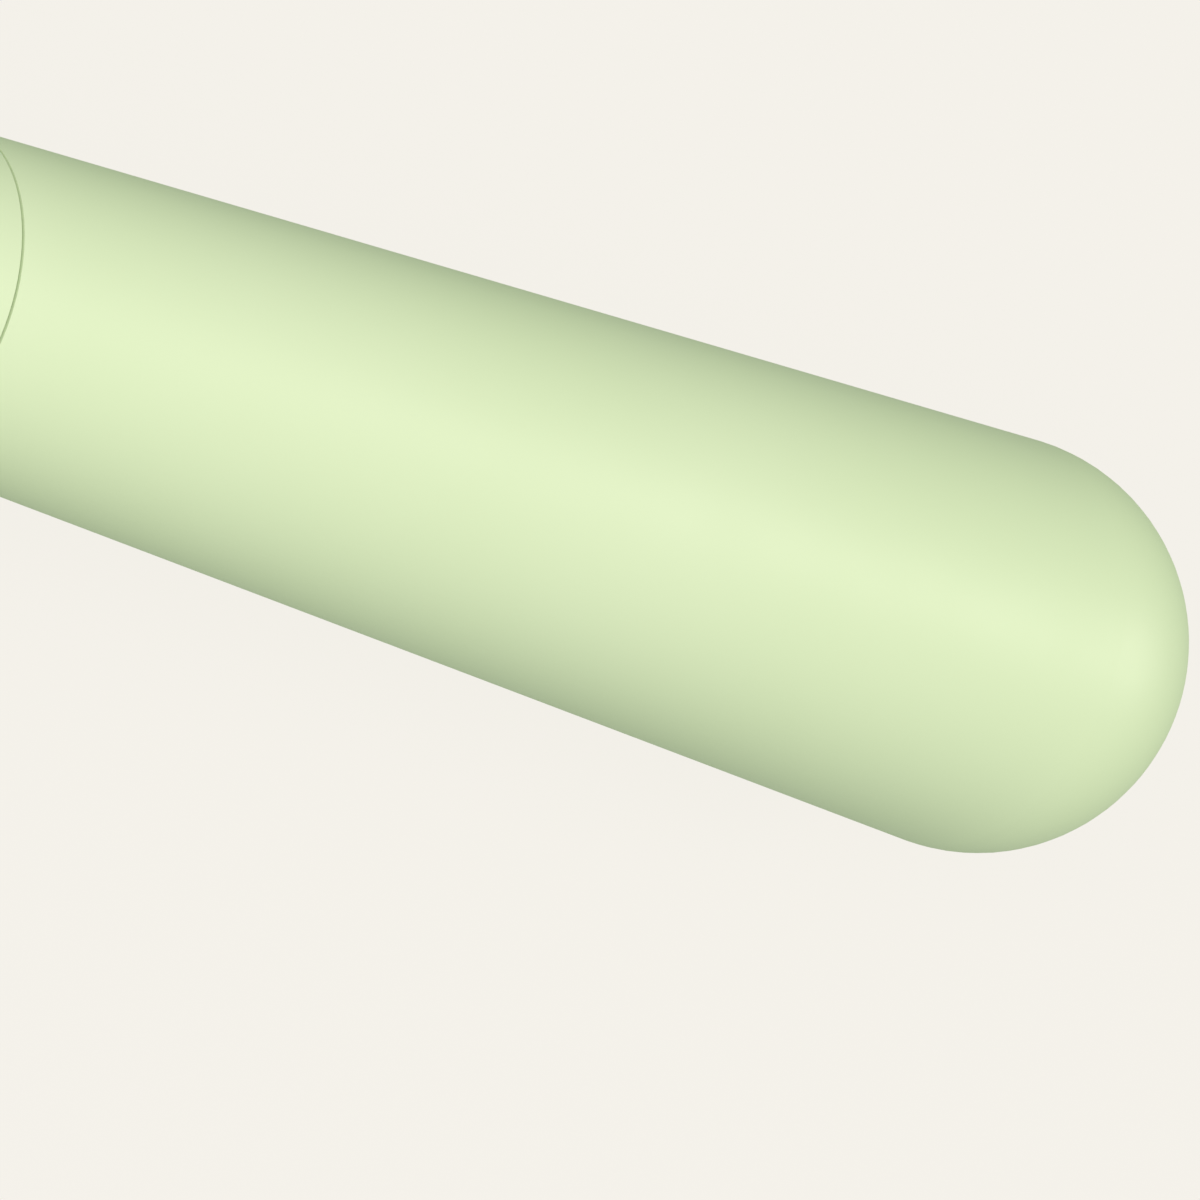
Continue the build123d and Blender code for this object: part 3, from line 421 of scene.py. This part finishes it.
def ball_points(soft, rows=200, around=360):
    """Points of the foam ball as a grid over polar angle and turn about the stroke axis.

    The distance from the ball's centre is the soft minimum of the ball's radius and of the distance to
    its flat base, h / cos(polar angle): -s * log(exp(-R / s) + exp(-h / (s * cos))), with s the softness
    of the edge. A ridge of Gaussian section follows the plane z = 0, and the turn is spaced as
    t - c * sin(2t), with c the crowding, which draws the columns towards that plane. Rows run from the
    tip to the base, so that the faces point outwards.
    """
    crowding = 0.42
    ridge_width = 0.16 * MM
    ridge_start, ridge_rise = 0.6, 0.3      # the ridge rises over this stretch of polar angle
    tip_fade = 0.02                         # and sinks again this close to the tip
    low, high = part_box("ball_foam")
    radius = (high.x - low.x) / 2
    centre_y = low.y + radius
    base = high.y - centre_y
    polar = np.linspace(pi, 0, rows)[:, None]
    step = np.linspace(0, 2 * pi, around, endpoint=False)[None, :]
    turn = step - crowding * np.sin(2 * step)
    softness = soft.edge_softness
    facing = np.maximum(np.cos(polar), 1e-6)
    flat = np.minimum(base / facing, 4 * radius)
    reach = -softness * np.log(np.exp(-(radius - base) / softness) + np.exp(-(flat - base) / softness)) + base
    reach = np.broadcast_to(reach, (rows, around)).copy()
    off_plane = reach * np.sin(polar) * np.sin(turn)
    on_side = np.clip((polar - ridge_start) / ridge_rise, 0, 1) * np.clip((pi - polar) / tip_fade, 0, 1)
    reach += soft.mould_line * np.exp(-(off_plane / ridge_width) ** 2) * on_side
    across = reach * np.sin(polar)
    along = centre_y + reach * np.cos(polar)
    points = np.stack([across * np.cos(turn), along, across * np.sin(turn)], axis=-1)
    points[0] = points[0, 0]
    points[-1] = points[-1, 0]
    return points


def seal_points(soft, along=72, around=240):
    """Points of the dust seal: a closed wavy strip turned about the stroke axis.

    From lip to rim, its front face is a cosine ripple whose height fades in and out by a sine, its back
    face is the same ripple one wall further back, and each edge is closed by a half circle.
    """
    low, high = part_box("dust_seal")
    lip_radius = 8.3 * MM
    rim_gap = 0.05 * MM
    wall = 0.7 * MM
    set_back = 1.2 * MM         # from the CAD seal's front to the middle of the wall
    rim_radius = high.x - rim_gap
    middle_y = low.y + set_back
    travel = np.linspace(0, 1, along)
    ripple = soft.seal_fold_height * np.cos(2 * pi * soft.seal_folds * travel) * np.sin(pi * travel) ** 0.5
    front = np.stack([lip_radius + (rim_radius - lip_radius) * travel, middle_y - ripple - wall / 2], axis=-1)
    back = front[::-1] + np.array([0, wall])
    half_turn = np.linspace(0, pi, 9)[1:-1]
    bulge = wall / 3 * np.sin(half_turn)
    rise = wall / 2 * (1 - np.cos(half_turn))
    rim = np.stack([rim_radius + bulge, front[-1, 1] + rise], axis=-1)
    lip = np.stack([lip_radius - bulge, back[-1, 1] - rise], axis=-1)
    profile = np.concatenate([front, rim, back, lip])
    turn = np.linspace(0, 2 * pi, around, endpoint=False)
    radius = profile[:, 0, None]
    return np.stack([radius * np.cos(turn), np.broadcast_to(profile[:, 1, None], (len(profile), around)),
                     radius * np.sin(turn)], axis=-1)


# --- Operators --------------------------------------------------------------------------------

class GUN_OT_body(bpy.types.Operator):
    """Finish the two head shells, the rear cap, the handle and the screw plugs"""

    bl_idname = "gun.body"
    bl_label = "Green body"

    def execute(self, context):
        material = soft_touch_abs(context.scene.gun_colours)
        dress(material, "left_head_shell", "right_head_shell", "rear_cap", "handle_sleeve", "screw_plugs")
        return {"FINISHED"}


class GUN_OT_trim(bpy.types.Operator):
    """Finish the front bezel, the power button and the gasket in the seam"""

    bl_idname = "gun.trim"
    bl_label = "Bezel, button and gasket"

    def execute(self, context):
        dress(sage_abs(context.scene.gun_colours), "front_bezel", "power_button")
        dress(moulded_rubber("tpe_gasket_green", "#8FA37C", "#9DB08A", 0.6), "neck_gasket")
        return {"FINISHED"}


class GUN_OT_lights(bpy.types.Operator):
    """Finish the light ring, the button's halo and the level lights"""

    bl_idname = "gun.lights"
    bl_label = "Light guides"

    def execute(self, context):
        dress(opal_polycarbonate(), "light_ring", "button_halo", "level_lights")
        return {"FINISHED"}


class GUN_OT_ball(bpy.types.Operator):
    """Build the foam ball and finish it and its core"""

    bl_idname = "gun.ball"
    bl_label = "Ball head"

    def execute(self, context):
        mesh = grid_mesh("foam_ball", ball_points(context.scene.gun_soft_parts))
        ball = add_piece("foam_ball", mesh, "head", stands_for=("ball_foam",))
        dress(closed_cell_foam(), "foam_ball")
        dress(glass_filled_nylon(), "head_core")
        return {"FINISHED"}


class GUN_OT_seals(bpy.types.Operator):
    """Build the rippled dust seal and finish the other rubber parts"""

    bl_idname = "gun.seals"
    bl_label = "Rubber seals"

    def execute(self, context):
        mesh = grid_mesh("rippled_seal", seal_points(context.scene.gun_soft_parts), wrap_rows=True)
        add_piece("rippled_seal", mesh, "housing", stands_for=("dust_seal",))
        rubber = moulded_rubber("rubber_nitrile_black", "#232624", "#303431", 0.55)
        dress(rubber, "rippled_seal", "head_o_ring", "front_isolator", "rear_isolator")
        return {"FINISHED"}


class GUN_OT_drive(bpy.types.Operator):
    """Finish the plunger, rod, crank, motor and the frame that carries them"""

    bl_idname = "gun.drive"
    bl_label = "Drive and motor"

    def execute(self, context):
        ground = worked_metal("steel_ground", "#8E9193", "#B9BBBD", (1, 12, 1), 1.2, 0.28, 0.004)
        dress(ground, "plunger", "wrist_pin", "crank_pin", "motor_shaft")
        turned = worked_metal("steel_turned", "#85888A", "#A9ACAE", (12, 1, 1), 1.0, 0.34, 0.006)
        dress(turned, "big_end_bearing", "motor_bearings", "motor_can", "crank", "motor_stator")
        dress(cast_aluminium(), "drive_frame", "conrod")
        dress(sintered_bronze(), "guide_bushing")
        dress(wound_copper(), "motor_windings")
        nickel = worked_metal("nickel_plate", "#A7A49C", "#C9C6BE", (1, 1, 1), 4.0, 0.22, 0.001)
        dress(nickel, "rotor_magnets", "nickel_strips")
        return {"FINISHED"}


class GUN_OT_inlet(bpy.types.Operator):
    """Finish the charging inlet and the screws"""

    bl_idname = "gun.inlet"
    bl_label = "Charging inlet and screws"

    def execute(self, context):
        drawn = worked_metal("stainless_deep_drawn", "#9C9FA1", "#C4C6C8", (10, 1, 1), 0.8, 0.2, 0.003)
        dress(drawn, "usb_receptacle", "shell_screws", "board_screws")
        dress(moulded_rubber("lcp_moulded_black", "#131414", "#1D1F1F", 0.42), "usb_tongue")
        return {"FINISHED"}


class GUN_OT_electronics(bpy.types.Operator):
    """Finish the boards, their parts, the cells, the cradle and the leads"""

    bl_idname = "gun.electronics"
    bl_label = "Electronics and battery"

    def execute(self, context):
        dress(solder_mask(), "button_board", "controller_board", "charge_board")
        epoxy = moulded_rubber("epoxy_moulded_black", "#17181A", "#222426", 0.5)
        dress(epoxy, "board_components", "tact_switch")
        dress(shrink_film(), "battery_cell_front", "battery_cell_rear")
        dress(natural_nylon(), "battery_cradle", "neck_collar", "level_lamps")
        dress(moulded_rubber("silicone_lead_red", "#8E1F1A", "#A32A22", 0.5), "motor_leads", "charge_leads")
        return {"FINISHED"}


class GUN_OT_stage(bpy.types.Operator):
    """Set up the floor, the studio lights, the surroundings and the camera"""

    bl_idname = "gun.stage"
    bl_label = "Studio stage"

    def execute(self, context):
        settings = context.scene.gun_stage
        right, down, away, eye = camera_frame(settings)
        add_floor()
        add_surroundings(context.scene, settings)
        add_camera(context.scene, settings, right, down, away, eye)
        target = eye + away * settings.distance
        front_place = target - away * FRONT_LIGHT_REACH + down * FRONT_LIGHT_DROP
        add_softbox("front_light", front_place, target, FRONT_LIGHT_SIZE, settings.key_power, "#FFF2FF")
        side = (right + down * SIDE_LIGHT_DROP - away * SIDE_LIGHT_LEAD).normalized()
        add_softbox("side_light", target + side * SIDE_LIGHT_REACH, target, SIDE_LIGHT_SIZE,
                    settings.side_power, "#FFFAF4")
        context.scene.view_settings.view_transform = "Standard"
        return {"FINISHED"}


def camera_frame(settings):
    """The camera's right, down and forward directions and its place.

    In camera terms the handle's axis is (cos lean * cos slope, cos lean * sin slope, sin lean) along
    right, down and forward. The two directions square to it are then sorted out by the turn.
    """
    lean, slope, turn = settings.lean, settings.slope, settings.turn
    along = Vector((1, 0, 0))
    inward = Vector((0, cos(turn), -sin(turn)))
    upward = Vector((0, sin(turn), cos(turn)))
    right = cos(lean) * cos(slope) * along - sin(lean) * cos(slope) * inward + sin(slope) * upward
    down = cos(lean) * sin(slope) * along - sin(lean) * sin(slope) * inward - cos(slope) * upward
    away = sin(lean) * along + cos(lean) * inward
    low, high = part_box("handle_sleeve")
    round_end = Vector((high.x - (high.y - low.y) / 2, (low.y + high.y) / 2, (low.z + high.z) / 2))
    eye = round_end - settings.aside[0] * right - settings.aside[1] * down - settings.distance * away
    return right, down, away, eye


def add_camera(scene, settings, right, down, away, eye):
    """Put the camera at its place, looking along away with down towards the picture's foot."""
    camera = bpy.data.objects.new("camera", bpy.data.cameras.new("camera"))
    camera.data.sensor_width = SENSOR_WIDTH
    camera.data.lens = settings.lens
    camera.data.clip_start = 0.02
    camera.data.clip_end = 50.0
    turn = Matrix((right, -down, -away)).transposed().to_4x4()
    camera.matrix_world = Matrix.Translation(eye) @ turn
    scene.collection.objects.link(camera)
    scene.camera = camera


def add_softbox(name, place, target, size, power, colour):
    """A square softbox at a place, turned to face the target."""
    lamp = bpy.data.lights.new(name, "AREA")
    lamp.size = size
    lamp.energy = power
    lamp.color = linear(colour)[:3]
    box = bpy.data.objects.new(name, lamp)
    facing = (target - place).to_track_quat("-Z", "Y").to_matrix().to_4x4()
    box.matrix_world = Matrix.Translation(place) @ facing
    bpy.context.scene.collection.objects.link(box)


def add_floor():
    """A wide pale floor just under the gun, lit from within so that it stays even to the horizon."""
    height = CAD_BOX[0][2]
    mesh = bpy.data.meshes.new("floor")
    corners = [(FLOOR_REACH * x, FLOOR_REACH * y, height) for x, y in ((-1, -1), (1, -1), (1, 1), (-1, 1))]
    mesh.from_pydata(corners, [], [(0, 1, 2, 3)])
    floor = bpy.data.objects.new("floor", mesh)
    floor.visible_diffuse = False
    floor.visible_glossy = False
    bpy.context.scene.collection.objects.link(floor)
    material, tree, _ = start_material("backdrop_paper")
    lay_surface(tree, Base_Color=linear("#363534"), Roughness=1.0, Specular_IOR_Level=0.0,
                Emission_Color=linear(PAPER_COLOUR), Emission_Strength=PAPER_GLOW)
    mesh.materials.append(material)


def add_surroundings(scene, settings):
    """Pale surroundings: the camera sees the paper's colour, the gun gets the studio's fill."""
    world = bpy.data.worlds.new("studio")
    world.use_nodes = True
    tree = world.node_tree
    tree.nodes.clear()
    seen = add_node(tree, "ShaderNodeBackground", {"Color": linear(PAPER_COLOUR), "Strength": 1.0})
    lit = add_node(tree, "ShaderNodeBackground", {"Color": linear("#F5FFEE"), "Strength": settings.fill})
    path = add_node(tree, "ShaderNodeLightPath")
    mixed = add_node(tree, "ShaderNodeMixShader",
                     {0: path.outputs["Is Camera Ray"], 1: lit.outputs["Background"],
                      2: seen.outputs["Background"]})
    add_node(tree, "ShaderNodeOutputWorld", {"Surface": mixed.outputs["Shader"]})
    scene.world = world


class GUN_PT_panel(bpy.types.Panel):
    """Lists the finishing steps in order"""

    bl_idname = "GUN_PT_panel"
    bl_label = "Massage gun"
    bl_space_type = "VIEW_3D"
    bl_region_type = "UI"
    bl_category = "Massage gun"

    def draw(self, context):
        scene = context.scene
        for group in (scene.gun_colours, scene.gun_soft_parts, scene.gun_stage):
            for name in group.__annotations__:
                self.layout.prop(group, name)
        for step in STEPS:
            self.layout.operator(step.bl_idname)


GROUPS = {"gun_colours": FinishColours, "gun_soft_parts": SoftParts, "gun_stage": StageSettings}
STEPS = (GUN_OT_body, GUN_OT_trim, GUN_OT_lights, GUN_OT_ball, GUN_OT_seals, GUN_OT_drive, GUN_OT_inlet,
         GUN_OT_electronics, GUN_OT_stage)


def register():
    """Register the settings, the steps and the panel."""
    for name, group in GROUPS.items():
        bpy.utils.register_class(group)
        setattr(bpy.types.Scene, name, bpy.props.PointerProperty(type=group))
    for step in (*STEPS, GUN_PT_panel):
        bpy.utils.register_class(step)


def unregister():
    """Take them all out again."""
    for step in reversed((*STEPS, GUN_PT_panel)):
        bpy.utils.unregister_class(step)
    for name, group in GROUPS.items():
        delattr(bpy.types.Scene, name)
        bpy.utils.unregister_class(group)


def main():
    """Register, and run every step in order."""
    register()
    for step in STEPS:
        group, name = step.bl_idname.split(".")
        getattr(getattr(bpy.ops, group), name)()


if __name__ == "__main__":
    main()
